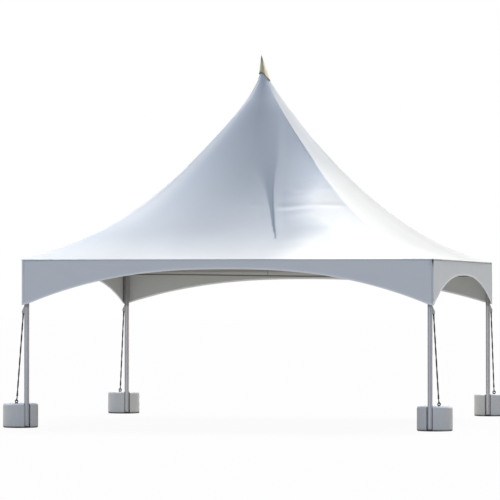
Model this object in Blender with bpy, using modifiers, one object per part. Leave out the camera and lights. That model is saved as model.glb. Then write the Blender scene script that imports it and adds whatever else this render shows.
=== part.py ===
"""A high-peak frame marquee, 6.1 m square, standing on four slotted concrete drums.

Metres, +Z up, front towards -Y. The origin is on the ground, in the middle of the whole
footprint with the drums counted, so the tent's own centre lies a little to one side of it.
"""

import math

import bmesh
import bpy
from mathutils import Matrix, Vector

# Clearance between pieces that touch
GAP = 0.0003

# Canopy: outside span at the eave, eave height, and the hip's sweep up to the peak
SPAN = 6.10
SLOT_FLOOR_Z = 0.030
LEG_HEIGHT = 2.44
EAVE_Z = SLOT_FLOOR_Z + LEG_HEIGHT
PEAK_RISE = 2.82
STRAIGHT_SHARE = 0.27
SWEEP = 2.04
PEAK_LEAN = 0.05
SKIN = 0.006
HIP_REACH = SPAN / math.sqrt(2)
EAVE_SLOPE = PEAK_RISE * STRAIGHT_SHARE / HIP_REACH
MID_ROUNDNESS = 0.35
PEAK_ROUNDNESS_POWER = 14
GORE_ROWS = 18
GORE_COLUMNS = 10

# Valance: how far the scalloped edge hangs below the eave, at its apex by side
VALANCE_TOP_Z = EAVE_Z - SKIN * math.sqrt(1 + EAVE_SLOPE**2) - GAP
TIP_DROP = 0.67
ARCH_END_DROP = 0.645
APEX_DROP = {"front": 0.145, "right": 0.19, "back": 0.21, "left": 0.19}
ARCH_POWER = 2.4
TIP_WIDTH = 0.10
ARCH_SEGMENTS = 26

# Frame: grooved square legs, eave beams and corner brackets
LEG_SIDE = 0.0635
LEG_CHAMFER = 0.009
LEG_INSET = 0.06
GROOVE_OFFSET = 0.015
GROOVE_WIDTH = 0.009
GROOVE_DEPTH = 0.008
LEG_LINE = SPAN / 2 - LEG_INSET
BEAM_WIDTH = 0.0635
BEAM_HEIGHT = 0.14
BRACKET_SIDE = 0.076
BRACKET_HEIGHT = 0.15
BRACKET_TOP_Z = VALANCE_TOP_Z
BRACKET_BOTTOM_Z = BRACKET_TOP_Z - BRACKET_HEIGHT
FOOT_RADIUS = 0.037
FOOT_THICKNESS = 0.008

# Lug on the outer side of each leg, just below the valance's tip
LUG_TOP_Z = EAVE_Z - TIP_DROP - 0.002
LUG_BOTTOM_Z = LUG_TOP_Z - 0.115
LUG_REACH = 0.040
LUG_THICKNESS = 0.022

# Drum weights: the leg stands on the floor of a slot in the drum's side
DRUM_RADIUS = 0.26
DRUM_HEIGHT = 0.355
DRUM_TOP_EDGE = 0.028
DRUM_LOW_EDGE = 0.016
DRUM_STEPS = 48
SLOT_RADIUS = 0.040
LEG_TO_DRUM = 0.226
EYE_OFFSET = 0.062

# The turn of each drum's slot, in degrees from the front (-Y) towards +X
CORNERS = {
    "front_left": (-1, -1, 39.0),
    "front_right": (1, -1, -8.5),
    "back_right": (1, 1, -1.5),
    "back_left": (-1, 1, 26.5),
}

# Tie-down gear: eye bolt, open hook and twisted webbing
EYE_RING_RADIUS = 0.020
EYE_ROD_RADIUS = 0.0055
EYE_RISE = 0.028
EYE_FLANGE_RADIUS = 0.019
EYE_FLANGE_THICKNESS = 0.004
HOOK_ROD_RADIUS = 0.0045
HOOK_BEND_RADIUS = EYE_ROD_RADIUS + HOOK_ROD_RADIUS + GAP
HOOK_SHANK = 0.060
HOOK_TIP = 0.014
STRAP_WIDTH = 0.020
STRAP_THICKNESS = 0.008
STRAP_HALF_TURN = 0.17
STRAP_SEGMENTS = 60

# Flying mast on four corner cables, with the peak collar and the finial above
MAST_RADIUS = 0.030
MAST_BOTTOM_Z = 2.375
MAST_TOP_Z = 5.335
HUB_SIDE = 0.085
HUB_HEIGHT = 0.040
HUB_TOP_Z = MAST_BOTTOM_Z + HUB_HEIGHT
SCREW_RADIUS = 0.007
SCREW_BOTTOM_Z = 2.262
CABLE_RADIUS = 0.005
CABLE_CORNER_Z = 2.400
ROUND_STEPS = 32
COLLAR_RADIUS = 0.095
COLLAR_NECK_RADIUS = 0.062
COLLAR_SKIRT_Z = 5.185
COLLAR_BOTTOM_Z = 5.130
FINIAL_RIM_Z = 5.225
FINIAL_TIP_Z = 5.644
FINIAL_RIM_RADIUS = 0.098
FINIAL_WALL = 0.0025
FINIAL_LEAN = 0.040
FINIAL_CUT_Z = 5.302
FINIAL_CUT_ANGLE = math.radians(34.0)

COLOURS = {
    "canopy_fabric": ((0.80, 0.83, 0.87), 0.55, 0.0),
    "valance_fabric": ((0.62, 0.64, 0.66), 0.55, 0.0),
    "frame_aluminium": ((0.56, 0.58, 0.60), 0.38, 0.9),
    "concrete": ((0.52, 0.53, 0.54), 0.85, 0.0),
    "galvanised_steel": ((0.62, 0.63, 0.64), 0.40, 0.9),
    "dark_steel": ((0.10, 0.10, 0.11), 0.45, 0.8),
    "webbing": ((0.14, 0.14, 0.15), 0.80, 0.0),
    "gold_metal": ((0.78, 0.66, 0.42), 0.32, 0.9),
}


def footprint_centre():
    """The middle of the drums' outer limits, in the tent's own plan."""
    centres = [drum_centre(corner) for corner in CORNERS]
    xs = [c.x for c in centres]
    ys = [c.y for c in centres]
    return Vector(((min(xs) + max(xs)) / 2, (min(ys) + max(ys)) / 2, 0))


def leg_place(corner):
    side, depth, _turn = CORNERS[corner]
    return Vector((side * LEG_LINE, depth * LEG_LINE, 0))


def drum_centre(corner):
    turn = math.radians(CORNERS[corner][2])
    towards_leg = Vector((math.sin(turn), -math.cos(turn), 0))
    return leg_place(corner) - towards_leg * LEG_TO_DRUM


def clear_scene():
    for obj in list(bpy.data.objects):
        bpy.data.objects.remove(obj, do_unlink=True)


def make_material(name):
    colour, roughness, metallic = COLOURS[name]
    mat = bpy.data.materials.new(name)
    mat.use_nodes = True
    shader = mat.node_tree.nodes["Principled BSDF"]
    shader.inputs["Base Color"].default_value = (*colour, 1.0)
    shader.inputs["Roughness"].default_value = roughness
    shader.inputs["Metallic"].default_value = metallic
    mat.diffuse_color = (*colour, 1.0)
    return mat


def face_outwards(bm):
    bmesh.ops.recalc_face_normals(bm, faces=bm.faces[:])
    if bm.calc_volume(signed=True) < 0:
        bmesh.ops.reverse_faces(bm, faces=bm.faces[:])


def mesh_from_bmesh(name, bm):
    mesh = bpy.data.meshes.new(name)
    face_outwards(bm)
    bm.to_mesh(mesh)
    bm.free()
    return mesh


def evaluated_mesh(obj):
    """The object's mesh with its modifiers applied and loose caps welded."""
    depsgraph = bpy.context.evaluated_depsgraph_get()
    mesh = bpy.data.meshes.new_from_object(obj.evaluated_get(depsgraph))
    bm = bmesh.new()
    bm.from_mesh(mesh)
    bmesh.ops.remove_doubles(bm, verts=bm.verts[:], dist=0.00001)
    face_outwards(bm)
    bm.to_mesh(mesh)
    bm.free()
    return mesh


def temporary(mesh_or_curve):
    obj = bpy.data.objects.new("temporary", mesh_or_curve)
    bpy.context.scene.collection.objects.link(obj)
    return obj


def box_mesh(size, centre):
    bm = bmesh.new()
    bmesh.ops.create_cube(bm, size=1.0)
    bmesh.ops.scale(bm, vec=Vector(size), verts=bm.verts[:])
    bmesh.ops.translate(bm, vec=Vector(centre), verts=bm.verts[:])
    return mesh_from_bmesh("box", bm)


def cylinder_mesh(radius, low_z, high_z, steps=ROUND_STEPS):
    bm = bmesh.new()
    bmesh.ops.create_cone(
        bm, cap_ends=True, segments=steps, radius1=radius, radius2=radius, depth=high_z - low_z
    )
    bmesh.ops.translate(bm, vec=Vector((0, 0, (low_z + high_z) / 2)), verts=bm.verts[:])
    return mesh_from_bmesh("cylinder", bm)


def outline_mesh(points, thickness):
    """A flat outline in the XY plane, thickened half each way along Z."""
    curve = bpy.data.curves.new("outline", "CURVE")
    curve.dimensions = "2D"
    curve.fill_mode = "BOTH"
    curve.extrude = thickness / 2
    spline = curve.splines.new("POLY")
    spline.points.add(len(points) - 1)
    for point, (x, y) in zip(spline.points, points):
        point.co = (x, y, 0, 1)
    spline.use_cyclic_u = True
    obj = temporary(curve)
    mesh = evaluated_mesh(obj)
    bpy.data.objects.remove(obj, do_unlink=True)
    return mesh


def rod_mesh(points, radius, resolution=2):
    """A round rod with filled ends along a chain of points."""
    curve = bpy.data.curves.new("rod", "CURVE")
    curve.dimensions = "3D"
    curve.bevel_depth = radius
    curve.bevel_resolution = resolution
    curve.use_fill_caps = True
    spline = curve.splines.new("POLY")
    spline.points.add(len(points) - 1)
    for point, place in zip(spline.points, points):
        point.co = (*place, 1)
    obj = temporary(curve)
    mesh = evaluated_mesh(obj)
    bpy.data.objects.remove(obj, do_unlink=True)
    return mesh


def turned_mesh(profile, steps, closed=False):
    """A profile of (radius, height) points turned about Z, listed down its outer side."""
    mesh = bpy.data.meshes.new("profile")
    count = len(profile)
    edges = [(i, i + 1) for i in range(count - 1)]
    if closed:
        edges.append((count - 1, 0))
    mesh.from_pydata([(r, 0, z) for r, z in profile], edges, [])
    obj = temporary(mesh)
    screw = obj.modifiers.new("turn", "SCREW")
    screw.steps = steps
    screw.render_steps = steps
    screw.use_merge_vertices = True
    screw.merge_threshold = 0.00001
    result = evaluated_mesh(obj)
    bpy.data.objects.remove(obj, do_unlink=True)
    return result


def boolean_mesh(base, other, operation):
    """The union or difference of two closed meshes."""
    base_obj = temporary(base)
    other_obj = temporary(other)
    modifier = base_obj.modifiers.new("cut", "BOOLEAN")
    modifier.operation = operation
    modifier.object = other_obj
    result = evaluated_mesh(base_obj)
    bpy.data.objects.remove(base_obj, do_unlink=True)
    bpy.data.objects.remove(other_obj, do_unlink=True)
    return result


def moved(mesh, matrix):
    mesh.transform(matrix)
    return mesh


class Builder:
    """Links each finished piece to the tent's collection, in the tent's plan."""

    def __init__(self):
        self.collection = bpy.data.collections.new("marquee_tent")
        bpy.context.scene.collection.children.link(self.collection)
        self.centre = bpy.data.objects.new("tent_centre", None)
        self.centre.location = -footprint_centre()
        self.collection.objects.link(self.centre)
        self.materials = {name: make_material(name) for name in COLOURS}

    def place(self, name, mesh, material, location=(0, 0, 0), turn=0.0, smooth=None):
        obj = bpy.data.objects.new(name, mesh)
        if not mesh.materials:
            mesh.materials.append(self.materials[material])
        if smooth is not None:
            mesh.shade_smooth()
            mesh.set_sharp_from_angle(angle=math.radians(smooth))
        obj.parent = self.centre
        obj.location = location
        obj.rotation_euler = (0, 0, turn)
        self.collection.objects.link(obj)
        return obj


def leg_outline():
    """A square tube's outline with chamfered corners and two grooves on each face."""
    half = LEG_SIDE / 2
    side = [(-half + LEG_CHAMFER, half)]
    for offset in (-GROOVE_OFFSET, GROOVE_OFFSET):
        left = offset - GROOVE_WIDTH / 2
        right = offset + GROOVE_WIDTH / 2
        side += [
            (left, half),
            (left, half - GROOVE_DEPTH),
            (right, half - GROOVE_DEPTH),
            (right, half),
        ]
    side.append((half - LEG_CHAMFER, half))
    points = []
    for quarter in range(4):
        turn = Matrix.Rotation(-quarter * math.pi / 2, 2)
        points += [tuple(turn @ Vector(p)) for p in side]
    return points


def leg_mesh():
    """A leg with its round foot and the strap lug on its +X face."""
    foot_z = SLOT_FLOOR_Z + GAP
    post_low = foot_z + FOOT_THICKNESS / 2
    post_high = BRACKET_BOTTOM_Z - GAP
    post = outline_mesh(leg_outline(), post_high - post_low)
    moved(post, Matrix.Translation((0, 0, (post_low + post_high) / 2)))
    foot = cylinder_mesh(FOOT_RADIUS, foot_z, foot_z + FOOT_THICKNESS)
    inner = LEG_SIDE / 4
    outer = LEG_SIDE / 2 + LUG_REACH
    lug = box_mesh(
        (outer - inner, LUG_THICKNESS, LUG_TOP_Z - LUG_BOTTOM_Z),
        ((inner + outer) / 2, 0, (LUG_TOP_Z + LUG_BOTTOM_Z) / 2),
    )
    return boolean_mesh(boolean_mesh(post, foot, "UNION"), lug, "UNION")


def make_legs(build):
    mesh = leg_mesh()
    for corner, (side, _depth, _turn) in CORNERS.items():
        turn = 0 if side > 0 else math.pi
        build.place(f"leg_{corner}", mesh, "frame_aluminium", leg_place(corner), turn)


def make_brackets(build):
    middle = (BRACKET_BOTTOM_Z + BRACKET_TOP_Z) / 2
    mesh = box_mesh((BRACKET_SIDE, BRACKET_SIDE, BRACKET_HEIGHT), (0, 0, middle))
    for corner in CORNERS:
        build.place(f"corner_bracket_{corner}", mesh, "frame_aluminium", leg_place(corner))


SIDES = ("front", "right", "back", "left")


def make_beams(build):
    length = 2 * LEG_LINE - BRACKET_SIDE - 2 * GAP
    middle = BRACKET_TOP_Z - BEAM_HEIGHT / 2
    mesh = box_mesh((length, BEAM_WIDTH, BEAM_HEIGHT), (0, -LEG_LINE, middle))
    for index, side in enumerate(SIDES):
        build.place(f"eave_beam_{side}", mesh, "frame_aluminium", turn=index * math.pi / 2)


def drum_profile():
    """Down the drum's outer side, with its top and bottom edges rounded."""
    top = DRUM_HEIGHT
    profile = [(0, top)]
    for step in range(5):
        angle = step / 4 * math.pi / 2
        inset = DRUM_TOP_EDGE * (1 - math.sin(angle))
        profile.append((DRUM_RADIUS - inset, top - DRUM_TOP_EDGE * (1 - math.cos(angle))))
    for step in range(4):
        angle = step / 3 * math.pi / 2
        inset = DRUM_LOW_EDGE * (1 - math.cos(angle))
        profile.append((DRUM_RADIUS - inset, DRUM_LOW_EDGE * (1 - math.sin(angle))))
    profile.append((0, 0))
    return profile


def slot_outline():
    """A U open towards -Y, its round end about the leg."""
    points = [(-SLOT_RADIUS, -2 * DRUM_RADIUS), (SLOT_RADIUS, -2 * DRUM_RADIUS)]
    for step in range(13):
        angle = step / 12 * math.pi
        points.append((SLOT_RADIUS * math.cos(angle), -LEG_TO_DRUM + SLOT_RADIUS * math.sin(angle)))
    return points


def make_weights(build):
    drum = turned_mesh(drum_profile(), DRUM_STEPS)
    slot = outline_mesh(slot_outline(), DRUM_HEIGHT)
    moved(slot, Matrix.Translation((0, 0, SLOT_FLOOR_Z + DRUM_HEIGHT / 2)))
    mesh = boolean_mesh(drum, slot, "DIFFERENCE")
    for corner, (_side, _depth, turn) in CORNERS.items():
        build.place(
            f"weight_{corner}", mesh, "concrete", drum_centre(corner), math.radians(turn), smooth=35
        )


def eye_place(corner):
    """The foot of the eye bolt, on the drum's top."""
    side = CORNERS[corner][0]
    return drum_centre(corner) + Vector((side * EYE_OFFSET, 0, DRUM_HEIGHT + GAP))


def strap_top(corner):
    """The middle of the lug's lower face."""
    side = CORNERS[corner][0]
    reach = LEG_SIDE / 2 + LUG_REACH / 2
    return leg_place(corner) + Vector((side * reach, 0, LUG_BOTTOM_Z))


def strap_frame(corner):
    """The ring's highest rod centre, the way up the strap, and the side the hook bends to."""
    ring_top = eye_place(corner) + Vector((0, 0, EYE_RISE + EYE_RING_RADIUS))
    along = (strap_top(corner) - ring_top).normalized()
    lean = Vector((along.x, along.y, 0)).normalized()
    across = Vector((0, 0, 1)).cross(lean)
    sideways = across.cross(along).normalized()
    return ring_top, along, sideways, lean


def eye_mesh():
    """A forged eye in the XZ plane on a short flanged foot."""
    bpy.ops.mesh.primitive_torus_add(
        major_radius=EYE_RING_RADIUS,
        minor_radius=EYE_ROD_RADIUS,
        major_segments=20,
        minor_segments=10,
        rotation=(math.pi / 2, 0, 0),
        location=(0, 0, EYE_RISE),
    )
    torus = bpy.context.object
    ring = torus.data
    moved(ring, torus.matrix_world.copy())
    bpy.data.objects.remove(torus, do_unlink=True)
    foot = cylinder_mesh(EYE_FLANGE_RADIUS, 0, EYE_FLANGE_THICKNESS, 20)
    return boolean_mesh(ring, foot, "UNION")


def hook_points(corner):
    """From the hook's tip, round under the ring's rod and up the shank."""
    ring_top, along, sideways, _lean = strap_frame(corner)
    points = [ring_top - sideways * HOOK_BEND_RADIUS + along * HOOK_TIP]
    for step in range(13):
        angle = step / 12 * math.pi
        arm = -sideways * math.cos(angle) - along * math.sin(angle)
        points.append(ring_top + arm * HOOK_BEND_RADIUS)
    points.append(ring_top + sideways * HOOK_BEND_RADIUS + along * HOOK_SHANK)
    return points


def strap_mesh(length):
    """Flat webbing of the given length along +Z, twisted about its own middle."""
    bm = bmesh.new()
    bmesh.ops.create_cube(bm, size=1.0)
    bmesh.ops.scale(bm, vec=Vector((STRAP_WIDTH, STRAP_THICKNESS, length)), verts=bm.verts[:])
    long_edges = [e for e in bm.edges if abs(e.verts[0].co.z - e.verts[1].co.z) > length / 2]
    bmesh.ops.subdivide_edges(bm, edges=long_edges, cuts=STRAP_SEGMENTS - 1, use_grid_fill=True)
    turn_rate = math.pi / STRAP_HALF_TURN
    for vert in bm.verts:
        turn = Matrix.Rotation(turn_rate * vert.co.z, 3, "Z")
        vert.co = turn @ vert.co
    bmesh.ops.translate(bm, vec=Vector((0, 0, length / 2)), verts=bm.verts[:])
    return mesh_from_bmesh("strap", bm)


def make_tie_downs(build):
    eye = eye_mesh()
    for corner in CORNERS:
        lean = strap_frame(corner)[3]
        ring_turn = math.atan2(lean.y, lean.x) + math.pi / 2
        build.place(f"eye_bolt_{corner}", eye, "dark_steel", eye_place(corner), ring_turn, 40)

        points = hook_points(corner)
        hook = rod_mesh(points, HOOK_ROD_RADIUS)
        build.place(f"strap_hook_{corner}", hook, "dark_steel", smooth=50)

        low = points[-1]
        along = (strap_top(corner) - low).normalized()
        slant = math.sqrt(1 - along.z**2)
        top_clearance = (GAP + slant * STRAP_WIDTH / 2) / along.z
        length = (strap_top(corner) - low).length - GAP - top_clearance
        strap = strap_mesh(length)
        upright = along.to_track_quat("Z", "Y").to_matrix().to_4x4()
        moved(strap, Matrix.Translation(low + along * GAP) @ upright)
        build.place(f"tie_strap_{corner}", strap, "webbing", smooth=50)


def canopy_z(reach):
    """Height of the canopy where its hip has come this share of the way out, 0 to 1."""
    inward = 1 - reach
    return EAVE_Z + PEAK_RISE * (STRAIGHT_SHARE * inward + (1 - STRAIGHT_SHARE) * inward**SWEEP)


def canopy_slope(reach):
    swept = (1 - STRAIGHT_SHARE) * SWEEP * (1 - reach) ** (SWEEP - 1)
    return PEAK_RISE * (STRAIGHT_SHARE + swept) / HIP_REACH


def rise_share(reach):
    """0 at the eave and 1 at the collar."""
    return (1 - reach) / (1 - COLLAR_RADIUS / HIP_REACH)


def roundness(reach):
    """0 where the canopy's level section is square, 1 where it is a circle."""
    rise = rise_share(reach)
    return MID_ROUNDNESS * rise**1.2 + (1 - MID_ROUNDNESS) * rise**PEAK_ROUNDNESS_POWER


def gore_mesh(turn):
    """A quarter of the canopy, from the collar down to the eave, as a closed skin.

    It is made as the front quarter, with the lean of one that is turned into its place.
    """
    collar_reach = COLLAR_RADIUS / HIP_REACH
    lean = Matrix.Rotation(-turn, 2) @ Vector((-PEAK_LEAN, 0))
    bm = bmesh.new()
    bmesh.ops.create_grid(bm, x_segments=GORE_COLUMNS, y_segments=GORE_ROWS, size=1.0)
    lower = bmesh.ops.extrude_face_region(bm, geom=bm.faces[:])["geom"]
    for vert in (item for item in lower if isinstance(item, bmesh.types.BMVert)):
        vert.co.z = -1
    for vert in bm.verts:
        across, down, layer = vert.co
        reach = collar_reach + (1 - collar_reach) * ((down + 1) / 2) ** 1.4
        angle = across * math.pi / 4
        flat = math.cos(math.pi / 4) / math.cos(angle)
        blend = roundness(reach)
        radius = HIP_REACH * reach * ((1 - blend) * flat + blend)
        drop = SKIN * math.sqrt(1 + canopy_slope(reach) ** 2)
        shift = lean * rise_share(reach)
        vert.co = (
            radius * math.sin(angle) + shift.x,
            -radius * math.cos(angle) - GAP + shift.y,
            canopy_z(reach) + layer * drop,
        )
    return mesh_from_bmesh("gore", bm)


def make_canopy(build):
    for index, side in enumerate(SIDES):
        turn = index * math.pi / 2
        build.place(f"roof_panel_{side}", gore_mesh(turn), "canopy_fabric", turn=turn, smooth=50)


def valance_drop(along, half_length, apex_drop):
    """Depth of the valance below the eave at a place along its side."""
    arch_half = half_length - TIP_WIDTH
    share = abs(along) / arch_half
    return apex_drop + (ARCH_END_DROP - apex_drop) * share**ARCH_POWER


def valance_outline(half_length, apex_drop):
    """Straight top, a short tip at each end and the arch between them; Y is height."""
    arch_half = half_length - TIP_WIDTH
    points = [
        (half_length, EAVE_Z - TIP_DROP),
        (half_length, VALANCE_TOP_Z),
        (-half_length, VALANCE_TOP_Z),
        (-half_length, EAVE_Z - TIP_DROP),
    ]
    for step in range(ARCH_SEGMENTS + 1):
        along = arch_half * (2 * step / ARCH_SEGMENTS - 1)
        points.append((along, EAVE_Z - valance_drop(along, half_length, apex_drop)))
    return points


def make_valances(build):
    upright = Matrix.Rotation(math.pi / 2, 4, "X")
    outer_half = SPAN / 2
    inner_half = SPAN / 2 - SKIN - GAP
    for index, side in enumerate(SIDES):
        half_length = outer_half if side in ("front", "back") else inner_half
        mesh = outline_mesh(valance_outline(half_length, APEX_DROP[side]), SKIN)
        moved(mesh, Matrix.Translation((0, -SPAN / 2 + SKIN / 2, 0)) @ upright)
        build.place(f"valance_{side}", mesh, "valance_fabric", turn=index * math.pi / 2)


def leaned(mesh):
    """The mesh leaned towards -X with the mast, from the hub's top up."""
    collar_z = canopy_z(COLLAR_RADIUS / HIP_REACH)
    for vert in mesh.vertices:
        share = max(0, vert.co.z - HUB_TOP_Z) / (collar_z - HUB_TOP_Z)
        vert.co.x -= PEAK_LEAN * share
    return mesh


def mast_mesh():
    """The flying mast on a square hub turned to face the corners, with its screw below."""
    hub_z = MAST_BOTTOM_Z + HUB_HEIGHT / 2
    tube = cylinder_mesh(MAST_RADIUS, hub_z, MAST_TOP_Z)
    hub = box_mesh((HUB_SIDE, HUB_SIDE, HUB_HEIGHT), (0, 0, hub_z))
    moved(hub, Matrix.Rotation(math.pi / 4, 4, "Z"))
    screw = cylinder_mesh(SCREW_RADIUS, SCREW_BOTTOM_Z, hub_z, 12)
    return leaned(boolean_mesh(boolean_mesh(tube, hub, "UNION"), screw, "UNION"))


def make_mast(build):
    build.place("mast", mast_mesh(), "frame_aluminium", smooth=35)
    hub_z = MAST_BOTTOM_Z + HUB_HEIGHT / 2
    for corner in CORNERS:
        side, depth, _turn = CORNERS[corner]
        outward = Vector((side, depth, 0)).normalized()
        start = outward * (HUB_SIDE / 2 + GAP * 2) + Vector((0, 0, hub_z))
        corner_reach = (LEG_LINE - BRACKET_SIDE / 2) * math.sqrt(2) - GAP * 2
        end = outward * corner_reach + Vector((0, 0, CABLE_CORNER_Z))
        cable = rod_mesh([start, end], CABLE_RADIUS)
        build.place(f"cross_cable_{corner}", cable, "galvanised_steel", smooth=50)


def collar_mesh():
    """The tapered sleeve round the mast's top that the four roof panels run up to."""
    bore = MAST_RADIUS + GAP
    skirt = COLLAR_RADIUS - GAP
    profile = [
        (COLLAR_NECK_RADIUS, MAST_TOP_Z),
        ((COLLAR_NECK_RADIUS * 2 + skirt) / 3 - 0.002, (MAST_TOP_Z + COLLAR_SKIRT_Z) / 2),
        (skirt, COLLAR_SKIRT_Z),
        (skirt, COLLAR_BOTTOM_Z),
        (bore, COLLAR_BOTTOM_Z),
        (bore, MAST_TOP_Z),
    ]
    return leaned(turned_mesh(profile, 4 * GORE_COLUMNS, closed=True))


def leaning_cone(radius, low_z, high_z, tip_z, steps=ROUND_STEPS):
    """A cone frustum about a line that leans towards -X as it rises to the finial's tip."""
    height = tip_z - FINIAL_RIM_Z
    bm = bmesh.new()
    share_low = (tip_z - low_z) / height
    share_high = (tip_z - high_z) / height
    bmesh.ops.create_cone(
        bm,
        cap_ends=True,
        segments=steps,
        radius1=radius * share_low,
        radius2=radius * share_high,
        depth=high_z - low_z,
    )
    for vert in bm.verts:
        z = vert.co.z + (low_z + high_z) / 2
        vert.co.x -= FINIAL_LEAN * (z - FINIAL_RIM_Z) / height - FINIAL_LEAN * 0.1
        vert.co.z = z
    return mesh_from_bmesh("cone", bm)


def finial_mesh():
    """A leaning hollow cone whose open rim is cut on a slant, low on the +X side."""
    below = 0.06
    blunt = 0.004
    outer = leaning_cone(FINIAL_RIM_RADIUS, FINIAL_RIM_Z - below, FINIAL_TIP_Z - blunt, FINIAL_TIP_Z)
    cavity_radius = FINIAL_RIM_RADIUS - FINIAL_WALL
    cavity = leaning_cone(
        cavity_radius, FINIAL_RIM_Z - 2 * below, MAST_TOP_Z + GAP, FINIAL_TIP_Z
    )
    shell = boolean_mesh(outer, cavity, "DIFFERENCE")
    size = 1.0
    cutter = box_mesh((size, size, size), (0, 0, -size / 2))
    slant = Matrix.Rotation(FINIAL_CUT_ANGLE, 4, "Y")
    moved(cutter, Matrix.Translation((0, 0, FINIAL_CUT_Z)) @ slant)
    return leaned(boolean_mesh(shell, cutter, "DIFFERENCE"))


def make_peak(build):
    build.place("peak_collar", collar_mesh(), "canopy_fabric", smooth=40)
    build.place("finial", finial_mesh(), "gold_metal", smooth=35)


def main():
    clear_scene()
    build = Builder()
    make_legs(build)
    make_brackets(build)
    make_beams(build)
    make_weights(build)
    make_tie_downs(build)
    make_canopy(build)
    make_valances(build)
    make_mast(build)
    make_peak(build)


main()
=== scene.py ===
"""The looks of the high-peak frame marquee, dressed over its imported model.

Metres, +Z up, front towards -Y. The tent's own centre is a little off the frame's origin, which
is in the middle of the whole footprint, drums counted.
"""

import math
from contextlib import contextmanager
from types import SimpleNamespace

import bmesh
import bpy
import numpy as np
from mathutils import Matrix, Vector


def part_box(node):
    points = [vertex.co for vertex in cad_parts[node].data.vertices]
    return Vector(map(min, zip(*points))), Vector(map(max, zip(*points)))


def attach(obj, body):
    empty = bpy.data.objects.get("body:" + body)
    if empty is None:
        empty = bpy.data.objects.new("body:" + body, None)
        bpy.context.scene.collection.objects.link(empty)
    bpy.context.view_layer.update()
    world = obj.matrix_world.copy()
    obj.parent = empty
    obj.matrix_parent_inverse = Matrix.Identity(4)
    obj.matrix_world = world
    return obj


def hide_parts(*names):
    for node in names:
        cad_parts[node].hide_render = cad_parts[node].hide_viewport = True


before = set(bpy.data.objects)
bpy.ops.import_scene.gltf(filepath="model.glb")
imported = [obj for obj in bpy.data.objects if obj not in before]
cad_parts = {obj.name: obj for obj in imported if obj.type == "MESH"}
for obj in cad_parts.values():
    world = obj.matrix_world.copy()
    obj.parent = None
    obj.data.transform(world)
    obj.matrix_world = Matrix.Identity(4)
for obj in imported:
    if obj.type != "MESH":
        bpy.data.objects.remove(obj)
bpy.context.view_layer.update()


def node_box(node):
    low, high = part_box(node)
    return Vector(low), Vector(high)


# Places read from the frame
VALANCE_LOW, VALANCE_HIGH = node_box("valance_front")
RIGHT_LOW, RIGHT_HIGH = node_box("valance_right")
CENTRE = Vector(((VALANCE_LOW.x + VALANCE_HIGH.x) / 2, (RIGHT_LOW.y + RIGHT_HIGH.y) / 2, 0))
SPAN = VALANCE_HIGH.x - VALANCE_LOW.x
HALF = SPAN / 2
VALANCE_TOP_Z = VALANCE_HIGH.z
TIP_Z = VALANCE_LOW.z

CORNERS = {
    "front_left": (-1, -1),
    "front_right": (1, -1),
    "back_right": (1, 1),
    "back_left": (-1, 1),
}
SIDES = ("front", "right", "back", "left")
FULL_TURN = 2 * math.pi
GORE = math.pi / 2
HALF_GORE = math.pi / 4

# The canopy's sweep, as in the solids
PANEL_SKIN = 0.006
PANEL_GAP = 0.0003
PEAK_RISE = 2.82
STRAIGHT_SHARE = 0.27
SWEEP = 2.04
HIP_REACH = SPAN / math.sqrt(2)
EAVE_SLOPE = PEAK_RISE * STRAIGHT_SHARE / HIP_REACH
EAVE_Z = VALANCE_TOP_Z + PANEL_SKIN * math.sqrt(1 + EAVE_SLOPE**2) + PANEL_GAP
MID_ROUNDNESS = 0.35
PEAK_ROUNDNESS_POWER = 14
PEAK_LEAN = 0.05
COLLAR_RADIUS = 0.095
COLLAR_REACH = COLLAR_RADIUS / HIP_REACH

# Camera, fitted to the photograph's 500 x 500 frame
FRAME_PX = 500
FOCAL_PX = 3300
CAMERA_PLACE = Vector((10.331, -49.659, 1.956))
CAMERA_YAW = -0.2105
CAMERA_PITCH = 0.0135
SENSOR_MM = 36.0

# Studio light: a wide bluish screen behind the camera, and soft lamps above the back corners
SCREEN_LOW = (0.52, 0.69, 0.99)
SCREEN_HIGH = (0.40, 0.62, 1.03)
SCREEN_STRENGTH = 0.60
SCREEN_EDGE_Y = 0.45
AMBIENT_STRENGTH = 0.04
LAMP_COLOUR = (1.0, 0.985, 0.955)
LAMPS = (
    ("lamp_back_right", (0.13, 0.52, 0.85), 3.80, 40),
    ("lamp_back_left", (-0.70, 0.30, 0.70), 0.95, 40),
)
FLOOR_SIZE = 400
FLOOR_BOUNCE = 0.22
FLOOR_LIGHT = (1.0, 0.95, 0.88)
FLOOR_LIGHT_STRENGTH = 0.43
FLOOR_GLOW = 0.88
FLOOR_GLOW_STRENGTH = 1.075


def rgba(colour):
    return (*colour, 1.0)


def grey(level, blue=0.0):
    return (level, level * (1 + blue * 0.5), level * (1 + blue))


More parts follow.
